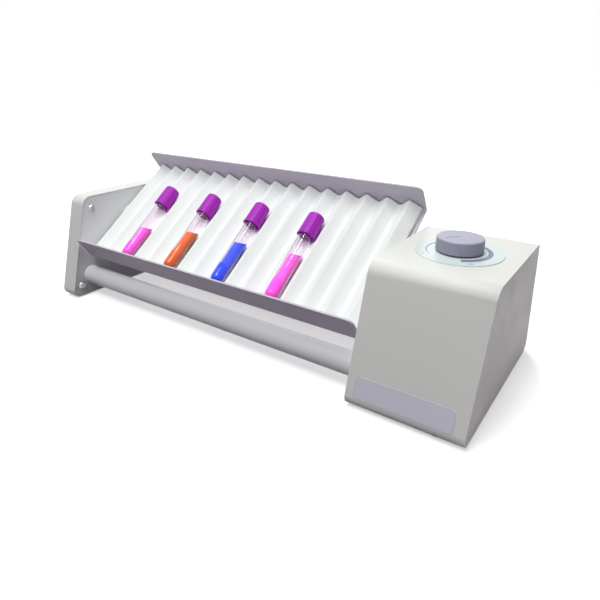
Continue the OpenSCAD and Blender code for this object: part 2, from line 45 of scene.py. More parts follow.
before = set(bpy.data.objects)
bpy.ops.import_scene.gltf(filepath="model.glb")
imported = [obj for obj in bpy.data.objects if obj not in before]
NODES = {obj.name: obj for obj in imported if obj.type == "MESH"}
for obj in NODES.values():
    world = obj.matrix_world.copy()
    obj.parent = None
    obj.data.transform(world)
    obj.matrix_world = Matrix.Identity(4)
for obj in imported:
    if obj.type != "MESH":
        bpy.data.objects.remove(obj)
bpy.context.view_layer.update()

MM = 0.001
TUBES = (1, 2, 3, 4)

# The tray at rest: its lean to the front, the height of its axis, and its floor over the axis
TILT = math.radians(35)
AXIS_HEIGHT = 79 * MM
AXIS_DROP = 6 * MM

# The sloping front of the motor housing: half depths at its base and top, and heights
BASE_HALF_DEPTH = 86.75 * MM
TOP_HALF_DEPTH = 57 * MM
FOOT_HEIGHT = 1.5 * MM
BODY_HEIGHT = 107 * MM

# The break on the moulded shells' edges, the angle from which an edge stays sharp, and the gap that keeps
# faces from lying in each other
EDGE_BREAK = 0.8 * MM
CREASE = math.radians(50)
CONTACT = 0.02 * MM


def srgb(red, green, blue):
    """A colour picked on screen, 0 to 255, as linear light."""
    def linear(value):
        share = value / 255
        return share / 12.92 if share <= 0.04045 else ((share + 0.055) / 1.055) ** 2.4
    return (linear(red), linear(green), linear(blue))


def colour(name, note, default):
    """A colour setting."""
    return FloatVectorProperty(name=name, description=note, subtype="COLOR", size=3, min=0, max=1, default=default)


def length(name, note, default):
    """A length setting, in metres."""
    return FloatProperty(name=name, description=note, unit="LENGTH", precision=5, default=default)


def number(name, note, default, low, high):
    """A plain number setting with its limits."""
    return FloatProperty(name=name, description=note, default=default, min=low, max=high)


# Settings


class RockerFinishes(PropertyGroup):
    """Colours of the rocker's finishes"""

    shell: colour("Shell", "Moulded plastic of the two end bodies", srgb(232, 234, 229))
    side_panel: colour("Side panel", "Coated metal of the inner side panels", srgb(238, 241, 241))
    bar: colour("Tie bar", "Coat of the tie bars", srgb(248, 249, 252))
    tray: colour("Tray", "Coat of the tray channel", srgb(214, 208, 221))
    foam: colour("Foam", "Corrugated pad", srgb(244, 248, 246))
    cap: colour("Cap", "Tube caps", srgb(178, 32, 194))
    stopper: colour("Stopper", "Rubber in the mouth of each tube", srgb(150, 44, 160))
    glass: colour("Glass", "Glass of the sample tubes, as linear light", (0.93, 0.87, 0.92))
    pink: colour("Pink", "Liquid in the first and last tube", srgb(246, 78, 210))
    orange: colour("Orange", "Liquid in the second tube", srgb(206, 86, 0))
    blue: colour("Blue", "Liquid in the third tube", srgb(26, 64, 236))
    knob: colour("Knob", "Speed knob", srgb(172, 173, 193))
    dial: colour("Dial", "Printed film under the knob", srgb(222, 234, 234))
    print_ink: colour("Print", "Ink of the speed crescent and the numbers", srgb(128, 134, 164))
    blank_plate: colour("Blank plate", "Bare film on the front of the housing", srgb(226, 225, 240))
    blank_line: colour("Blank plate's line", "Line round the bare film", srgb(196, 196, 214))
    rubber: colour("Rubber", "Feet", srgb(38, 38, 40))
    nylon: colour("Nylon", "Bushes and connecting rod", srgb(240, 240, 236))
    steel: colour("Steel", "Screws, shafts and plates", srgb(176, 176, 180))
    aluminium: colour("Aluminium", "Pivot blocks and crank disc", srgb(196, 198, 202))
    motor: colour("Motor", "Motor, gearbox and potentiometer can", srgb(92, 94, 100))
    board: colour("Board", "Solder mask of the control board", srgb(34, 104, 62))
    black: colour("Black", "Inlet and the board's parts", srgb(28, 28, 30))


class RockerPad(PropertyGroup):
    """Sizes of the foam pad"""

    pitch: length("Pitch", "From one groove to the next", 20.5 * MM)
    ridges: IntProperty(name="Ridges", description="Number of ridges", default=16, min=1, max=20)
    width: length("Width", "Across the tray", 132 * MM)
    valley: length("Valley", "Thickness under a groove", 4.2 * MM)
    flank: FloatProperty(name="Flank", description="Slope of the groove flanks", subtype="ANGLE",
                         default=math.radians(40.5))
    ridge_radius: length("Ridge radius", "Round of the ridge tops", 2.2 * MM)
    groove_radius: length("Groove radius", "Round of the groove bottoms", 3 * MM)
    edge_radius: length("Edge radius", "Round of the pad's two long edges", 1.2 * MM)


class RockerDial(PropertyGroup):
    """Sizes of the dial's printing"""

    first_angle: FloatProperty(name="First mark", description="Where the crescent starts", subtype="ANGLE",
                               default=math.radians(228))
    sweep: FloatProperty(name="Sweep", description="How far the crescent runs clockwise", subtype="ANGLE",
                         default=math.radians(296))
    outer_radius: length("Outer radius", "Outside of the crescent", 24.4 * MM)
    thin: length("Thin end", "Width where the crescent starts", 0.5 * MM)
    thick: length("Thick end", "Width where the crescent ends", 4.6 * MM)
    number_radius: length("Number radius", "From the middle of the dial to its numbers", 28.5 * MM)
    number_size: length("Number size", "Height of the numbers", 3.4 * MM)


class RockerBlankPlate(PropertyGroup):
    """Sizes of the bare plate on the front"""

    width: length("Width", "Along the housing", 75 * MM)
    height: length("Height", "Up the slope", 17 * MM)
    corner: length("Corner", "Corner radius", 3.6 * MM)
    thickness: length("Thickness", "Film thickness", 0.2 * MM)
    line: length("Line", "Width of the line round the edge", 0.3 * MM)
    middle_x: length("Middle", "Place along the housing", 177.7 * MM)
    low_edge: length("Low edge", "Height of its lower edge", 10.5 * MM)


class RockerLiquid(PropertyGroup):
    """Shape of the water's surface in the tubes"""

    lean: number("Lean", "How far the surface leans from square across the tube, as a slope", 0.62, 0, 1.5)
    rim: length("Rim", "Height of the rim that climbs the glass", 0.6 * MM)
    gap: length("Gap", "Room kept between the water and the glass", 0.12 * MM)


class RockerStage(PropertyGroup):
    """Camera and light"""

    camera_place: FloatVectorProperty(name="Camera", description="Where the camera stands", subtype="TRANSLATION",
                                      size=3, default=(0.2905, -0.3798, 0.2375))
    yaw: number("Yaw", "Turn of the view, in radians", 0.6233, -3.2, 3.2)
    pitch: number("Pitch", "Lift of the view, in radians", -0.3930, -1.5, 1.5)
    lens: number("Lens", "Focal length in millimetres", 31.57, 10, 200)
    shift_x: number("Shift X", "Camera shift sideways", 0.0263, -1, 1)
    shift_y: number("Shift Y", "Camera shift upwards", -0.0270, -1, 1)
    key_power: number("Key", "Power of the overhead lamp, in watts", 8.2, 0, 1000)
    side_power: number("Side", "Power of the lamp on the right, in watts", 0.2, 0, 1000)
    fill_power: number("Fill", "Power of the front lamp, in watts", 7.2, 0, 1000)
    back_power: number("Back", "Power of the lamp behind, in watts", 4.5, 0, 1000)
    ambient: number("Ambient", "Strength of the surrounding light", 0.12, 0, 2)


class RockerSettings(PropertyGroup):
    """All settings of the rocker's dressing"""

    finishes: PointerProperty(type=RockerFinishes)
    pad: PointerProperty(type=RockerPad)
    dial: PointerProperty(type=RockerDial)
    blank_plate: PointerProperty(type=RockerBlankPlate)
    liquid: PointerProperty(type=RockerLiquid)
    stage: PointerProperty(type=RockerStage)


# Material tools


def feed(links, socket, value):
    """Gives a socket a value, or links it to another socket."""
    if isinstance(value, bpy.types.NodeSocket):
        links.new(value, socket)
    else:
        socket.default_value = value


def worked_out(nodes, links, operation, *values, kind="ShaderNodeMath"):
    """The result of one operation on values or sockets."""
    node = nodes.new(kind)
    node.operation = operation
    for socket, value in zip(node.inputs, values):
        feed(links, socket, value)
    return next(output for output in node.outputs if output.enabled)


def mixed(nodes, links, share, low, high):
    """A colour between two others, each a colour or a socket."""
    mix = nodes.new("ShaderNodeMix")
    mix.data_type = "RGBA"
    feed(links, mix.inputs["Factor"], share)
    feed(links, mix.inputs["A"], low)
    feed(links, mix.inputs["B"], high)
    return mix.outputs["Result"]


def remapped(nodes, links, value, before, after, interpolation="LINEAR"):
    """Moves a value from one range to another."""
    remap = nodes.new("ShaderNodeMapRange")
    remap.interpolation_type = interpolation
    for limit, amount in zip(("From Min", "From Max", "To Min", "To Max"), (*before, *after)):
        remap.inputs[limit].default_value = amount
    links.new(value, remap.inputs["Value"])
    return remap.outputs["Result"]


class Finish:
    """A node material with one Principled shader and the part's own coordinates."""

    def __init__(self, name, base, roughness=0.5, metallic=0.0):
        self.material = bpy.data.materials.new(name)
        self.material.use_nodes = True
        self.nodes = self.material.node_tree.nodes
        self.links = self.material.node_tree.links
        self.shader = self.nodes["Principled BSDF"]
        self.place = self.nodes.new("ShaderNodeTexCoord").outputs["Object"]
        self.base = base
        self.set("Base Color", (*base, 1))
        self.set("Roughness", roughness)
        self.set("Metallic", metallic)

    def set(self, socket, value):
        """Gives the shader a value that is the same all over."""
        self.shader.inputs[socket].default_value = value

    def stretched(self, scale):
        """The part's coordinates stretched by a scale for each axis."""
        mapping = self.nodes.new("ShaderNodeMapping")
        mapping.inputs["Scale"].default_value = scale
        self.links.new(self.place, mapping.inputs["Vector"])
        return mapping.outputs["Vector"]

    def noise(self, scale, detail=2.0, roughness=0.5, vector=None):
        """A soft noise over the part's coordinates, or over others."""
        texture = self.nodes.new("ShaderNodeTexNoise")
        texture.inputs["Scale"].default_value = scale
        texture.inputs["Detail"].default_value = detail
        texture.inputs["Roughness"].default_value = roughness
        self.links.new(vector or self.place, texture.inputs["Vector"])
        return texture.outputs["Fac"]

    def work_out(self, operation, *values, kind="ShaderNodeMath"):
        """The result of one operation in this material."""
        return worked_out(self.nodes, self.links, operation, *values, kind=kind)

    def remap(self, value, before, after):
        """A value moved to another range in this material."""
        return remapped(self.nodes, self.links, value, before, after)

    def vary_colour(self, value, spread):
        """The base colour drifts by a spread to each side."""
        dark = [part * (1 - spread) for part in self.base]
        light = [min(1, part * (1 + spread)) for part in self.base]
        self.blend_colour(value, (*dark, 1), (*light, 1))

    def blend_colour(self, value, low, high):
        """The base colour goes from low to high, each a colour or a socket."""
        result = mixed(self.nodes, self.links, value, low, high)
        self.links.new(result, self.shader.inputs["Base Color"])

    def vary_roughness(self, value, low, high):
        """The middle of a noise moves the roughness from low to high."""
        self.links.new(self.remap(value, (0.3, 0.7), (low, high)), self.shader.inputs["Roughness"])

    def bump(self, value, strength, depth):
        """Raises the surface by a noise, over any bump that is there already."""
        node = self.nodes.new("ShaderNodeBump")
        node.inputs["Strength"].default_value = strength
        node.inputs["Distance"].default_value = depth
        self.links.new(value, node.inputs["Height"])
        normal = self.shader.inputs["Normal"]
        if normal.is_linked:
            self.links.new(normal.links[0].from_socket, node.inputs["Normal"])
        self.links.new(node.outputs["Normal"], normal)


def moulded_plastic(name, base, roughness=0.5, grain=1400, relief=0.05 * MM):
    """Spark-eroded mould surface: a fine even grain and a faint drift of tone."""
    finish = Finish(name, base, roughness)
    finish.vary_colour(finish.noise(9, detail=3), spread=0.02)
    finish.vary_roughness(finish.noise(60, detail=3), roughness - 0.05, roughness + 0.06)
    finish.bump(finish.noise(grain, detail=3, roughness=0.6), strength=0.35, depth=relief)
    return finish


def powder_coat(name, base, roughness=0.38, peel=420):
    """Orange peel of a baked coat, with a finer speckle over it."""
    finish = Finish(name, base, roughness)
    finish.vary_colour(finish.noise(14, detail=4), spread=0.03)
    finish.vary_roughness(finish.noise(90, detail=3), roughness - 0.05, roughness + 0.07)
    finish.bump(finish.noise(peel, detail=2, roughness=0.4), strength=0.25, depth=0.06 * MM)
    finish.set("Specular IOR Level", 0.35)
    return finish


def brushed_metal(name, base, roughness=0.3, along=(40, 900, 900)):
    """Fine scratches along one direction."""
    finish = Finish(name, base, roughness, metallic=1.0)
    scratches = finish.noise(1, detail=4, roughness=0.6, vector=finish.stretched(along))
    finish.vary_colour(scratches, spread=0.08)
    finish.vary_roughness(scratches, roughness - 0.08, roughness + 0.12)
    finish.bump(scratches, strength=0.2, depth=0.02 * MM)
    return finish


def soft_rubber(name, base, roughness=0.75):
    """Matt rubber with a fine grain."""
    finish = Finish(name, base, roughness)
    finish.vary_colour(finish.noise(35, detail=3), spread=0.12)
    finish.vary_roughness(finish.noise(140, detail=3), roughness - 0.08, roughness + 0.08)
    finish.bump(finish.noise(1900, detail=3, roughness=0.6), strength=0.4, depth=0.05 * MM)
    return finish


def closed_cell_foam(name, base):
    """White foam skin: a fine cell pattern, faint dents and a little light through the surface."""
    finish = Finish(name, base, 0.85)
    finish.vary_colour(finish.noise(22, detail=4), spread=0.018)
    finish.vary_roughness(finish.noise(200, detail=2), 0.78, 0.92)
    cells = finish.nodes.new("ShaderNodeTexVoronoi")
    cells.inputs["Scale"].default_value = 1500
    finish.links.new(finish.place, cells.inputs["Vector"])
    finish.bump(finish.noise(75, detail=2, roughness=0.5), strength=0.25, depth=0.35 * MM)
    finish.bump(cells.outputs["Distance"], strength=0.12, depth=0.06 * MM)
    finish.set("Subsurface Weight", 0.15)
    finish.set("Subsurface Radius", (1.0, 1.0, 1.0))
    finish.set("Subsurface Scale", 1.5 * MM)
    return finish


def clear_glass(name, base):
    """Thin clear glass with a faint violet cast, which lets the lamps through to what lies under it."""
    finish = Finish(name, base, 0.02)
    finish.vary_roughness(finish.noise(50, detail=2), 0.015, 0.035)
    finish.vary_colour(finish.noise(30, detail=2), spread=0.01)
    finish.set("Transmission Weight", 1.0)
    finish.set("IOR", 1.5)
    path = finish.nodes.new("ShaderNodeLightPath")
    stopped = finish.remap(path.outputs["Is Shadow Ray"], (0, 1), (1, 0.12))
    finish.links.new(stopped, finish.shader.inputs["Alpha"])
    return finish


def dyed_water(name, base):
    """Strongly dyed water, a little denser in slow swirls."""
    finish = Finish(name, base, 0.08)
    finish.vary_colour(finish.noise(70, detail=3), spread=0.06)
    finish.vary_roughness(finish.noise(120, detail=2), 0.05, 0.12)
    finish.set("IOR", 1.33)
    finish.set("Specular IOR Level", 0.1)
    return finish


def glossy_cap(name, base):
    """Soft cap plastic with a dull gloss."""
    finish = Finish(name, base, 0.36)
    finish.vary_colour(finish.noise(90, detail=3), spread=0.05)
    finish.vary_roughness(finish.noise(160, detail=3), 0.3, 0.44)
    finish.bump(finish.noise(700, detail=2, roughness=0.5), strength=0.15, depth=0.03 * MM)
    finish.set("Specular IOR Level", 0.3)
    return finish


def fluted_plastic(name, base, middle, radius, depth, top):
    """Knob plastic with painted shade in the bottom of its flutes, which have a depth and end at a top."""
    finish = moulded_plastic(name, base, 0.42, 1100, 0.03 * MM)
    away = finish.work_out("SUBTRACT", finish.place, middle, kind="ShaderNodeVectorMath")
    flat = finish.work_out("MULTIPLY", away, (1, 1, 0), kind="ShaderNodeVectorMath")
    reach = finish.work_out("LENGTH", flat, kind="ShaderNodeVectorMath")
    groove = finish.remap(reach, (radius - depth, radius - depth * 0.3), (1, 0))
    apart = finish.nodes.new("ShaderNodeSeparateXYZ")
    finish.links.new(finish.place, apart.inputs["Vector"])
    side = finish.work_out("LESS_THAN", apart.outputs["Z"], top)
    # Painted shade: the colour falls to 0.3 of the base in the bottom of the flutes, below the knob's top.
    painted_flute_shade = finish.work_out("MULTIPLY", groove, side)
    unshaded_colour = finish.shader.inputs["Base Color"].links[0].from_socket
    finish.blend_colour(painted_flute_shade, unshaded_colour, (*[part * 0.3 for part in base], 1))
    return finish


def printed_film(name, base, roughness=0.32):
    """Smooth printed film or ink."""
    finish = Finish(name, base, roughness)
    finish.vary_colour(finish.noise(30, detail=2), spread=0.012)
    finish.vary_roughness(finish.noise(110, detail=3), roughness - 0.03, roughness + 0.03)
    finish.bump(finish.noise(900, detail=2), strength=0.12, depth=0.02 * MM)
    return finish


def wear(finish, *names):
    """Puts a finish on CAD nodes."""
    for name in names:
        part = NODES[name]
        part.data.materials.clear()
        part.data.materials.append(finish.material)


def break_edges(radius, *names):
    """Rounds the crisp edges of CAD nodes a little, as a mould or a bend leaves them."""
    for name in names:
        joined = NODES[name].modifiers.new("Join", "WELD")
        joined.merge_threshold = CONTACT / 2
        rounded = NODES[name].modifiers.new("Edge break", "BEVEL")
        rounded.width = radius
        rounded.segments = 2
        rounded.limit_method = "ANGLE"
        rounded.angle_limit = math.radians(40)
        rounded.harden_normals = False
        rounded.use_clamp_overlap = True


def tubes(*kinds):
    """The nodes of these kinds for each tube."""
    return [f"{kind}_{index}" for kind in kinds for index in TUBES]


# Mesh tools


def mesh_piece(name, bm, finish, body, smooth=True):
    """Turns a bmesh in the row frame into a piece that rides on a body."""
    bmesh.ops.recalc_face_normals(bm, faces=bm.faces)
    mesh = bpy.data.meshes.new(name)
    bm.to_mesh(mesh)
    bm.free()
    for face in mesh.polygons:
        face.use_smooth = smooth
    piece = bpy.data.objects.new(name, mesh)
    bpy.context.scene.collection.objects.link(piece)
    mesh.materials.append(finish.material)
    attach(piece, body)
    return piece


def sharpen(piece, angle):
    """Keeps edges over an angle sharp."""
    piece.data.set_sharp_from_angle(angle=angle)


def prism(bm, outline, low, high):
    """A closed solid over an outline of (x, y) points."""
    bottom = [bm.verts.new((x, y, low)) for x, y in outline]
    top = [bm.verts.new((x, y, high)) for x, y in outline]
    bm.faces.new(bottom[::-1])
    bm.faces.new(top)
    for index in range(len(outline)):
        after = (index + 1) % len(outline)
        bm.faces.new((bottom[index], bottom[after], top[after], top[index]))


def tray_matrix():
    """From the tray's own frame, with its floor at zero, to the row frame."""
    return (Matrix.Translation((0, 0, AXIS_HEIGHT)) @ Matrix.Rotation(TILT, 4, "X")
            @ Matrix.Translation((0, 0, AXIS_DROP)))


def settings(context):
    """The rocker's settings in this scene."""
    return context.scene.rocker


# Pieces


class RockerShells(Operator):
    """Finish the moulded shells of both ends"""

    bl_idname = "rocker.shells"
    bl_label = "Shells"

    def execute(self, context):
        finishes = settings(context).finishes
        wear(moulded_plastic("cream_moulding", finishes.shell), "housing_shell", "bracket_shell", "board_posts")
        break_edges(EDGE_BREAK, "housing_shell", "bracket_shell")
        return {"FINISHED"}


class RockerSidePanels(Operator):
    """Finish the inner side panels"""

    bl_idname = "rocker.side_panels"
    bl_label = "Side panels"

    def execute(self, context):
        finishes = settings(context).finishes
        wear(powder_coat("panel_coat", finishes.side_panel), "housing_panel", "bracket_panel")
        return {"FINISHED"}


class RockerBars(Operator):
    """Finish the tie bars"""

    bl_idname = "rocker.bars"
    bl_label = "Tie bars"

    def execute(self, context):
        finishes = settings(context).finishes
        wear(powder_coat("bar_coat", finishes.bar, 0.42, 260), "tie_bar_front", "tie_bar_rear")
        return {"FINISHED"}


class RockerFeet(Operator):
    """Finish the rubber feet"""

    bl_idname = "rocker.feet"
    bl_label = "Feet"

    def execute(self, context):
        finishes = settings(context).finishes
        feet = [f"foot_{end}_{side}" for end in ("front", "rear") for side in ("left", "right")]
        wear(soft_rubber("foot_rubber", finishes.rubber), *feet)
        return {"FINISHED"}


class RockerFasteners(Operator):
    """Finish screws, bolts, nuts and shafts"""

    bl_idname = "rocker.fasteners"
    bl_label = "Fasteners and shafts"

    def execute(self, context):
        finishes = settings(context).finishes
        plated = brushed_metal("plated_steel", finishes.steel)
        wear(plated, "housing_panel_screws", "bracket_panel_screws", "tie_bar_bolts", "block_screws",
             "standoff_screws", "inlet_nut", "potentiometer_nut")
        turned = brushed_metal("turned_steel", finishes.steel, 0.22, (900, 60, 60))
        wear(turned, "pivot_pin", "drive_shaft", "lever_pin", "crank_pin", "motor_shaft", "knob_shaft",
             "rocker_lever", "motor_plate", "motor_standoffs")
        return {"FINISHED"}


class RockerBearings(Operator):
    """Finish the bushes, the pivot blocks and the crank"""

    bl_idname = "rocker.bearings"
    bl_label = "Bearings and drive"

    def execute(self, context):
        finishes = settings(context).finishes
        wear(moulded_plastic("nylon", finishes.nylon, 0.4, 900, 0.02 * MM),
             "bush_left", "bush_right", "connecting_rod")
        wear(brushed_metal("milled_aluminium", finishes.aluminium, 0.35, (500, 40, 500)),
             "pivot_block_left", "pivot_block_right", "crank_disc")
        wear(powder_coat("motor_can", finishes.motor, 0.35, 700), "gearbox", "motor", "potentiometer")
        return {"FINISHED"}


class RockerElectrics(Operator):
    """Finish the control board and the power inlet"""

    bl_idname = "rocker.electrics"
    bl_label = "Electrics"

    def execute(self, context):
        finishes = settings(context).finishes
        mask = printed_film("solder_mask", finishes.board, 0.25)
        wear(mask, "control_board")
        wear(moulded_plastic("black_moulding", finishes.black, 0.45), "power_inlet", "board_parts")
        return {"FINISHED"}


class RockerTray(Operator):
    """Finish the folded tray channel"""

    bl_idname = "rocker.tray"
    bl_label = "Tray"

    def execute(self, context):
        finishes = settings(context).finishes
        wear(powder_coat("tray_coat", finishes.tray, 0.45, 500), "tray_channel")
        return {"FINISHED"}


class RockerFoamPad(Operator):
    """Model the corrugated foam pad"""

    bl_idname = "rocker.foam_pad"
    bl_label = "Foam pad"

    inner_rows = 24
    unevenness = 0.15 * MM
    waves = 60
    thinnest = 0.4 * MM

    def top_edge(self, pad):
        """The pad's corrugated edge: points along the tray and up."""
        slope = pad.flank
        extra = 1 / math.cos(slope) - 1
        floor = pad.valley - pad.groove_radius * extra
        apex = floor + pad.pitch / 2 * math.tan(slope)
        steps = 8

        def arc(x, height, radius, start, end):
            for step in range(steps + 1):
                angle = start + (end - start) * step / steps
                yield (x + radius * math.cos(angle), height + radius * math.sin(angle))

        quarter = math.pi / 2
        points = [(0.0, pad.valley)]
        for ridge in range(pad.ridges):
            points += arc((ridge + 0.5) * pad.pitch, apex - pad.ridge_radius / math.cos(slope),
                          pad.ridge_radius, quarter + slope, quarter - slope)
            if ridge < pad.ridges - 1:
                points += arc((ridge + 1) * pad.pitch, floor + pad.groove_radius / math.cos(slope),
                              pad.groove_radius, 3 * quarter - slope, 3 * quarter + slope)
        points.append((pad.ridges * pad.pitch, pad.valley))
        return points

    def rows(self, pad):
        """Where the pad's cross rows lie, from the front edge to the back, and how far each is rounded down."""
        half = pad.width / 2
        turns = [math.radians(angle) for angle in (0, 30, 60, 90)]
        edge = sorted((-half + pad.edge_radius * (1 - math.sin(turn)), pad.edge_radius * (1 - math.cos(turn)))
                      for turn in turns)
        start, span = -half + pad.edge_radius, pad.width - 2 * pad.edge_radius
        inner = [(start + span * step / self.inner_rows, 0.0) for step in range(1, self.inner_rows)]
        return edge + inner + [(-across, drop) for across, drop in edge[::-1]]

    def top_surface(self, bm, pad, left):
        """The corrugated skin, with the slight unevenness of cut foam; gives its rows of points."""
        random.seed(5)
        sway = [random.uniform(-1, 1) for _ in range(pad.ridges * 2 + 2)]
        edge = self.top_edge(pad)
        grid = []
        for across, drop in self.rows(pad):
            line = []
            for x, height in edge:
                place = x / pad.pitch * 2
                index = int(place)
                share = place - index
                bend = sway[index] * (1 - share) + sway[min(index + 1, len(sway) - 1)] * share
                lift = self.unevenness * bend * math.sin(across * self.waves + index)
                line.append(bm.verts.new((left + x, across, max(height - drop + lift, self.thinnest))))
            grid.append(line)
        for row, after in zip(grid, grid[1:]):
            for index in range(len(row) - 1):
                bm.faces.new((row[index], row[index + 1], after[index + 1], after[index]))
        return grid

    def close_below(self, bm, grid):
        """The pad's four sides and its flat underside."""
        def foot(vert):
            return bm.verts.new((vert.co.x, vert.co.y, CONTACT))

        ends = [(foot(row[0]), foot(row[-1])) for row in grid]
        front = [ends[0][0], *[foot(vert) for vert in grid[0][1:-1]], ends[0][1]]
        back = [ends[-1][0], *[foot(vert) for vert in grid[-1][1:-1]], ends[-1][1]]
        for index in range(len(front) - 1):
            bm.faces.new((grid[0][index + 1], grid[0][index], front[index], front[index + 1]))
            bm.faces.new((grid[-1][index], grid[-1][index + 1], back[index + 1], back[index]))
        for step in range(len(grid) - 1):
            bm.faces.new((grid[step][0], grid[step + 1][0], ends[step + 1][0], ends[step][0]))
            bm.faces.new((grid[step + 1][-1], grid[step][-1], ends[step][1], ends[step + 1][1]))
        left_side = [pair[0] for pair in ends[1:-1]]
        right_side = [pair[1] for pair in ends[1:-1]]
        bm.faces.new(front + right_side + back[::-1] + left_side[::-1])

    def execute(self, context):
        pad = settings(context).pad
        tray_low, tray_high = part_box("tray_channel")
        left = (tray_low.x + tray_high.x) / 2 - pad.ridges * pad.pitch / 2
        bm = bmesh.new()
        self.close_below(bm, self.top_surface(bm, pad, left))
        bmesh.ops.transform(bm, matrix=tray_matrix(), verts=bm.verts)
        foam = closed_cell_foam("foam", settings(context).finishes.foam)
        piece = mesh_piece("foam_pad", bm, foam, "tray")
        sharpen(piece, CREASE)
        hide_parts("pad")
        return {"FINISHED"}


class RockerTubes(Operator):
    """Finish the glass, the caps and the stoppers"""

    bl_idname = "rocker.tubes"
    bl_label = "Sample tubes"

    def execute(self, context):
        finishes = settings(context).finishes
        wear(clear_glass("tube_glass", finishes.glass), *tubes("glass"))
        wear(glossy_cap("cap_plastic", finishes.cap), *tubes("cap"))
        wear(soft_rubber("stopper_rubber", finishes.stopper, 0.5), *tubes("stopper"))
        return {"FINISHED"}


class RockerLiquids(Operator):
    """Model the dyed water in the tubes, with the rim that clings to the glass"""

    bl_idname = "rocker.liquids"
    bl_label = "Liquids"

    # The rim's section: how far it climbs and how far it stands in from the glass, as shares of its height
    rim_section = ((1, 0), (0.3, 0.45), (0, 1.3))

    def column(self, name, liquid):
        """A round-bottomed column of water in the place of a CAD liquid."""
        inverse = tray_matrix().inverted()
        points = [inverse @ vert.co for vert in NODES[name].data.vertices]
        low = Vector([min(point[axis] for point in points) for axis in range(3)])
        high = Vector([max(point[axis] for point in points) for axis in range(3)])
        middle = (low + high) / 2
        surface = high.y - (high.x - low.x) / 2 / math.tan(TILT)
        radius = (high.x - low.x) / 2 - liquid.gap
        around, bowl = 48, 10
        stations = [(low.y + radius * (1 - math.cos(turn)), radius * math.sin(turn), 0.0)
                    for turn in (math.pi / 2 * step / bowl for step in range(1, bowl + 1))]
        stations += [(surface + liquid.rim * climb, radius - liquid.rim * inward, 1.0)
                     for climb, inward in self.rim_section]
        bm = bmesh.new()
        rings = []
        for along, reach, lean in stations:
            ring = []
            for step in range(around):
                angle = math.tau * step / around
                side, up = reach * math.cos(angle), reach * math.sin(angle)
                ring.append(bm.verts.new((middle.x + side, along - lean * liquid.lean * up, middle.z + up)))
            rings.append(ring)
        tip = bm.verts.new((middle.x, low.y, middle.z))
        for step in range(around):
            after = (step + 1) % around
            bm.faces.new((tip, rings[0][after], rings[0][step]))
            for ring, following in zip(rings, rings[1:]):
                bm.faces.new((ring[step], ring[after], following[after], following[step]))
        bm.faces.new(rings[-1])
        bmesh.ops.transform(bm, matrix=tray_matrix(), verts=bm.verts)
        return bm

    def execute(self, context):
        finishes = settings(context).finishes
        liquid = settings(context).liquid
        dyes = (("pink", "pink", finishes.pink), ("orange", "orange", finishes.orange),
                ("blue", "blue", finishes.blue), ("rose", "pink", finishes.pink))
        for index, (name, slot, base) in zip(TUBES, dyes):
            node = f"liquid_{index}"
            piece = mesh_piece(f"{name}_water", self.column(node, liquid), dyed_water(f"{name}_dye", base),
                               f"tube_{index}")
            sharpen(piece, CREASE)
            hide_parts(node)
        return {"FINISHED"}


class RockerKnob(Operator):
    """Finish the fluted speed knob"""

    bl_idname = "rocker.knob"
    bl_label = "Speed knob"

    def execute(self, context):
        finishes = settings(context).finishes
        low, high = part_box("knob")
        middle = (low + high) / 2
        radius = (high.x - low.x) / 2
        # The knob's finish paints shade into the bottom of its flutes.
        wear(fluted_plastic("knob_plastic", finishes.knob, middle, radius, 0.5 * MM, high.z - 1.2 * MM), "knob")
        return {"FINISHED"}


class RockerDialPrint(Operator):
    """Finish the dial plate and print its crescent and numbers"""

    bl_idname = "rocker.dial_print"
    bl_label = "Dial"

    numbers = (("0", 225), ("1", 170), ("10", -56))
    ink_top = 0.05 * MM

    def execute(self, context):
        finishes = settings(context).finishes
        dial = settings(context).dial
        wear(printed_film("dial_film", finishes.dial), "dial_plate")
        ink = printed_film("dial_ink", finishes.print_ink, 0.4)
        low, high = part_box("dial_plate")
        middle = (low + high) / 2
        ink_low, ink_high = high.z + CONTACT / 2, high.z + self.ink_top
        steps = 96
        outside, inside = [], []
        for step in range(steps + 1):
            share = step / steps
            angle = dial.first_angle - dial.sweep * share
            width = dial.thin + (dial.thick - dial.thin) * share
            for ring, radius in ((outside, dial.outer_radius), (inside, dial.outer_radius - width)):
                ring.append((middle.x + radius * math.cos(angle), middle.y + radius * math.sin(angle)))
        bm = bmesh.new()
        prism(bm, outside + inside[::-1], ink_low, ink_high)
        mesh_piece("speed_crescent", bm, ink, "frame", smooth=False)
        for text, degrees in self.numbers:
            angle = math.radians(degrees)
            curve = bpy.data.curves.new(f"dial_number_{text}", "FONT")
            curve.body = text
            curve.size = dial.number_size
            curve.extrude = CONTACT
            curve.align_x = "CENTER"
            curve.align_y = "CENTER"
            letter = bpy.data.objects.new(f"number_{text}", curve)
            context.scene.collection.objects.link(letter)
            context.view_layer.update()
            mesh = bpy.data.meshes.new_from_object(letter.evaluated_get(context.evaluated_depsgraph_get()))
            bpy.data.objects.remove(letter)
            number_piece = bpy.data.objects.new(f"dial_number_{text}", mesh)
            context.scene.collection.objects.link(number_piece)
            mesh.transform(Matrix.Translation((middle.x + dial.number_radius * math.cos(angle),
                                               middle.y + dial.number_radius * math.sin(angle),
                                               ink_low + CONTACT)))
            mesh.materials.clear()
            mesh.materials.append(ink.material)
            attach(number_piece, "frame")
        return {"FINISHED"}


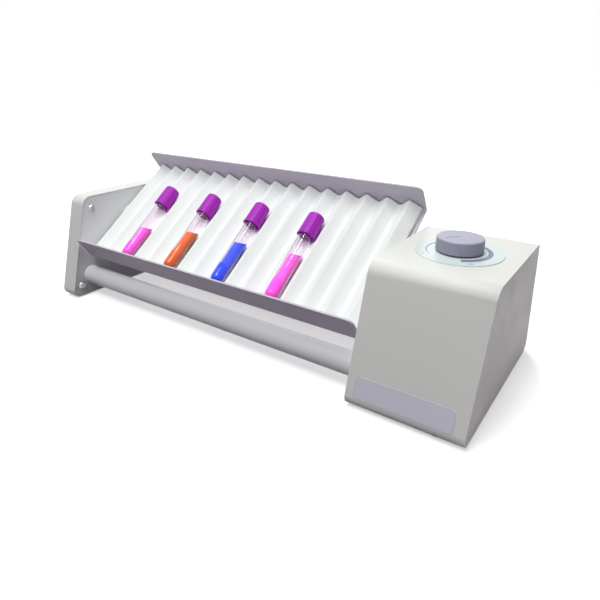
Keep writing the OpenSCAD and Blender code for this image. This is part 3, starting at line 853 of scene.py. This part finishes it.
class RockerBlankPlateMake(Operator):
    """Model the bare plate on the front of the housing"""

    bl_idname = "rocker.blank_plate"
    bl_label = "Blank plate"

    corner_steps = 8
    line_low, line_high = 0.005 * MM, 0.03 * MM

    def execute(self, context):
        finishes = settings(context).finishes
        plate = settings(context).blank_plate
        half_w, half_h = plate.width / 2, plate.height / 2
        outline = []
        for index, (sx, sy) in enumerate(((1, 1), (-1, 1), (-1, -1), (1, -1))):
            for step in range(self.corner_steps + 1):
                angle = math.radians(90 * index + 90 * step / self.corner_steps)
                outline.append((sx * (half_w - plate.corner) + plate.corner * math.cos(angle),
                                sy * (half_h - plate.corner) + plate.corner * math.sin(angle)))
        slope = (BASE_HALF_DEPTH - TOP_HALF_DEPTH) / BODY_HEIGHT
        low_y = -(BASE_HALF_DEPTH - (plate.low_edge - FOOT_HEIGHT) * slope)
        place = (Matrix.Translation((plate.middle_x, low_y, plate.low_edge))
                 @ Matrix.Rotation(math.pi / 2 - math.atan(slope), 4, "X") @ Matrix.Translation((0, half_h, 0)))
        bm = bmesh.new()
        prism(bm, outline, CONTACT, plate.thickness)
        bmesh.ops.transform(bm, matrix=place, verts=bm.verts)
        mesh_piece("blank_plate", bm, printed_film("blank_film", finishes.blank_plate, 0.45), "frame",
                   smooth=False)
        bm = bmesh.new()
        inside = [(x * (1 - plate.line / half_w), y * (1 - plate.line / half_h)) for x, y in outline]
        low, high = plate.thickness + self.line_low, plate.thickness + self.line_high
        rings = [[bm.verts.new((x, y, height)) for x, y in edge]
                 for edge, height in ((outline, low), (outline, high), (inside, high), (inside, low))]
        for ring, following in zip(rings, rings[1:] + rings[:1]):
            for index in range(len(outline)):
                after = (index + 1) % len(outline)
                bm.faces.new((ring[index], ring[after], following[after], following[index]))
        bmesh.ops.transform(bm, matrix=place, verts=bm.verts)
        mesh_piece("blank_plate_line", bm, printed_film("blank_line_ink", finishes.blank_line, 0.45), "frame",
                   smooth=False)
        return {"FINISHED"}


# Stage


class RockerStageMake(Operator):
    """Make the camera, the lamps, the world and the floor"""

    bl_idname = "rocker.stage"
    bl_label = "Stage"

    # Each lamp's name, power setting, place, size and tint
    lamps = (
        ("overhead", "key_power", (-0.03, 0.05, 1.3), (0.26, 0.9), (1.0, 1.0, 0.97)),
        ("front_fill", "fill_power", (-0.08, -0.68, 1.15), (0.6, 0.5), (0.97, 0.98, 1.0)),
        ("side_fill", "side_power", (1.3, -0.25, 0.5), (0.5, 0.4), (1.0, 0.95, 1.0)),
        ("back_fill", "back_power", (-0.75, 1.25, 0.75), (0.8, 0.4), (1.0, 1.0, 1.0)),
    )
    lamp_aim = (0, 0, 0.07)
    white = (1, 1, 1, 1)
    ambient_tint = (1.0, 0.93, 0.98, 1)
    floor_reach = 4
    floor_bounce = (0.075, 0.05, 0.075, 1)

    # A paler strip of floor under the housing: its middle and half width along X
    card_place = (0.32, 0.10)
    card_bounce = (0.36, 0.30, 0.35, 1)

    # The floor's own glow rises with the distance from the object
    glow_reach = (0.25, 0.7)
    glow_strength = (0.5, 1.0)

    def camera(self, context, stage):
        yaw, pitch = stage.yaw, stage.pitch
        ahead = Vector((-math.sin(yaw) * math.cos(pitch), math.cos(yaw) * math.cos(pitch), math.sin(pitch)))
        right = Vector((math.cos(yaw), math.sin(yaw), 0))
        up = right.cross(ahead)
        data = bpy.data.cameras.new("view")
        data.sensor_width = 36
        data.lens = stage.lens
        data.shift_x, data.shift_y = stage.shift_x, stage.shift_y
        data.clip_start, data.clip_end = 0.01, 50
        camera = bpy.data.objects.new("view", data)
        turn = Matrix((right, up, -ahead)).transposed().to_4x4()
        camera.matrix_world = Matrix.Translation(stage.camera_place) @ turn
        context.scene.collection.objects.link(camera)
        context.scene.camera = camera

    def lamp(self, context, name, place, power, size, tint):
        data = bpy.data.lights.new(name, "AREA")
        data.shape = "RECTANGLE"
        data.size, data.size_y = size
        data.energy = power
        data.color = tint
        lamp = bpy.data.objects.new(name, data)
        lamp.location = place
        lamp.rotation_euler = (Vector(self.lamp_aim) - Vector(place)).to_track_quat("-Z", "Y").to_euler()
        context.scene.collection.objects.link(lamp)

    def seen_rays(self, nodes, links):
        """1 for rays that show the background itself: camera, glossy and transmission rays."""
        path = nodes.new("ShaderNodeLightPath")
        total = path.outputs["Is Camera Ray"]
        for ray in ("Is Glossy Ray", "Is Transmission Ray"):
            total = worked_out(nodes, links, "MAXIMUM", total, path.outputs[ray])
        return total

    def world(self, context, stage):
        world = bpy.data.worlds.new("studio")
        world.use_nodes = True
        nodes, links = world.node_tree.nodes, world.node_tree.links
        seen = nodes["Background"]
        seen.inputs["Color"].default_value = self.white
        seen.inputs["Strength"].default_value = 1
        ambient = nodes.new("ShaderNodeBackground")
        ambient.inputs["Color"].default_value = self.ambient_tint
        ambient.inputs["Strength"].default_value = stage.ambient
        mix = nodes.new("ShaderNodeMixShader")
        links.new(self.seen_rays(nodes, links), mix.inputs["Fac"])
        links.new(ambient.outputs["Background"], mix.inputs[1])
        links.new(seen.outputs["Background"], mix.inputs[2])
        links.new(mix.outputs["Shader"], nodes["World Output"].inputs["Surface"])
        context.scene.world = world

    def floor(self, context):
        """A floor that looks white and keeps shadows, but throws little light back at the object."""
        bm = bmesh.new()
        bmesh.ops.create_grid(bm, x_segments=1, y_segments=1, size=self.floor_reach)
        mesh = bpy.data.meshes.new("floor")
        bm.to_mesh(mesh)
        bm.free()
        floor = bpy.data.objects.new("floor", mesh)
        context.scene.collection.objects.link(floor)
        material = bpy.data.materials.new("pale_floor")
        material.use_nodes = True
        nodes, links = material.node_tree.nodes, material.node_tree.links
        shader = nodes["Principled BSDF"]
        shader.inputs["Roughness"].default_value = 0.9
        shader.inputs["Specular IOR Level"].default_value = 0.1
        seen = self.seen_rays(nodes, links)
        place = nodes.new("ShaderNodeTexCoord").outputs["Object"]
        apart = nodes.new("ShaderNodeSeparateXYZ")
        links.new(place, apart.inputs["Vector"])
        on_card = worked_out(nodes, links, "COMPARE", apart.outputs["X"], *self.card_place)
        bounce = mixed(nodes, links, on_card, self.floor_bounce, self.card_bounce)
        links.new(mixed(nodes, links, seen, bounce, self.white), shader.inputs["Base Color"])
        distance = worked_out(nodes, links, "LENGTH", place, kind="ShaderNodeVectorMath")
        glow = remapped(nodes, links, distance, self.glow_reach, self.glow_strength, "SMOOTHSTEP")
        shader.inputs["Emission Color"].default_value = self.white
        links.new(worked_out(nodes, links, "MULTIPLY", seen, glow), shader.inputs["Emission Strength"])
        mesh.materials.append(material)

    def execute(self, context):
        stage = settings(context).stage
        self.camera(context, stage)
        for name, power, place, size, tint in self.lamps:
            self.lamp(context, name, place, getattr(stage, power), size, tint)
        self.world(context, stage)
        self.floor(context)
        context.scene.view_settings.view_transform = "Standard"
        return {"FINISHED"}


class RockerPanel(Panel):
    """Buttons for each piece of the rocker"""

    bl_idname = "VIEW3D_PT_rocker"
    bl_label = "Blood Tube Rocker"
    bl_space_type = "VIEW_3D"
    bl_region_type = "UI"
    bl_category = "Rocker"

    def draw(self, context):
        for operator in OPERATORS:
            self.layout.operator(operator.bl_idname)
        for group in ("finishes", "pad", "liquid", "dial", "blank_plate", "stage"):
            box = self.layout.box()
            box.label(text=group.replace("_", " ").capitalize())
            chosen = getattr(settings(context), group)
            for name in type(chosen).__annotations__:
                box.prop(chosen, name)


OPERATORS = (
    RockerStageMake, RockerShells, RockerSidePanels, RockerBars, RockerFeet, RockerFasteners, RockerBearings,
    RockerElectrics, RockerTray, RockerFoamPad, RockerTubes, RockerLiquids, RockerKnob, RockerDialPrint,
    RockerBlankPlateMake,
)
GROUPS = (RockerFinishes, RockerPad, RockerLiquid, RockerDial, RockerBlankPlate, RockerStage, RockerSettings)


def register():
    for kind in (*GROUPS, *OPERATORS, RockerPanel):
        bpy.utils.register_class(kind)
    bpy.types.Scene.rocker = PointerProperty(type=RockerSettings)


def unregister():
    del bpy.types.Scene.rocker
    for kind in reversed((*GROUPS, *OPERATORS, RockerPanel)):
        bpy.utils.unregister_class(kind)


def run(operator):
    """Calls an operator by its own name."""
    family, name = operator.bl_idname.split(".")
    getattr(getattr(bpy.ops, family), name)()


def main():
    register()
    for operator in OPERATORS:
        run(operator)


if __name__ == "__main__":
    main()
